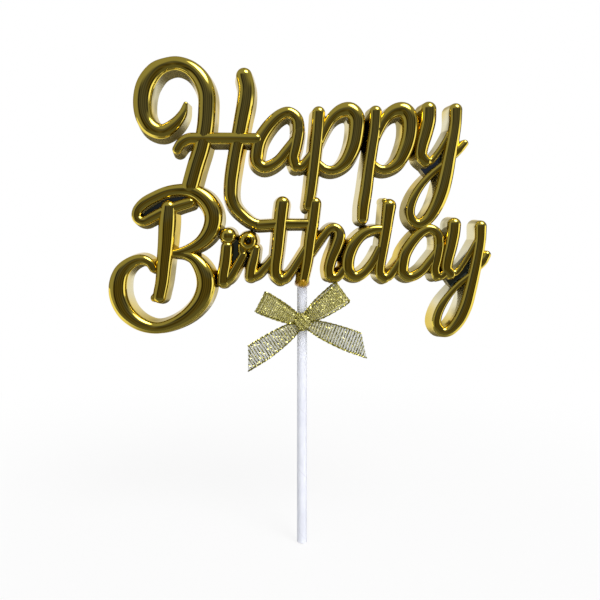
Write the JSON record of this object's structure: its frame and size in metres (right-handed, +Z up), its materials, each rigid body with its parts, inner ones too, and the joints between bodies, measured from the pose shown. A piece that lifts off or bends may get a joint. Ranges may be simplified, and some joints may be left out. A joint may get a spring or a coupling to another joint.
{
  "type": "cake topper",
  "caption": "Gold-plated script lettering of a plain birthday greeting in two joined lines, on a white paper stick with a tied metallic ribbon bow; the stick pushes into a cake.",
  "frame": {"origin": "middle of the stick's lower end", "axes": "+Z up along the stick, -Y out of the lettering's front, +X to a reader's right"},
  "size_m": [0.1331, 0.009, 0.1709],
  "materials": {
    "gold_plating": "polished",
    "paper": "matte",
    "amber_glue": "gloss",
    "ribbon": "satin"
  },
  "bodies": {
    "root": {"upper_h": "gold_plating", "upper_a": "gold_plating", "upper_p_1": "gold_plating", "upper_p_2": "gold_plating", "upper_y": "gold_plating", "lower_b": "gold_plating", "lower_i": "gold_plating", "lower_r": "gold_plating", "lower_t": "gold_plating", "lower_h": "gold_plating", "lower_d": "gold_plating", "lower_a": "gold_plating", "lower_y": "gold_plating", "stick": "paper", "glue": "amber_glue", "bow_wrap": "ribbon", "bow_knot": "ribbon", "bow_loop_left": "ribbon", "bow_loop_right": "ribbon", "bow_tail_left": "ribbon", "bow_tail_right": "ribbon"}
  },
  "joints": []
}
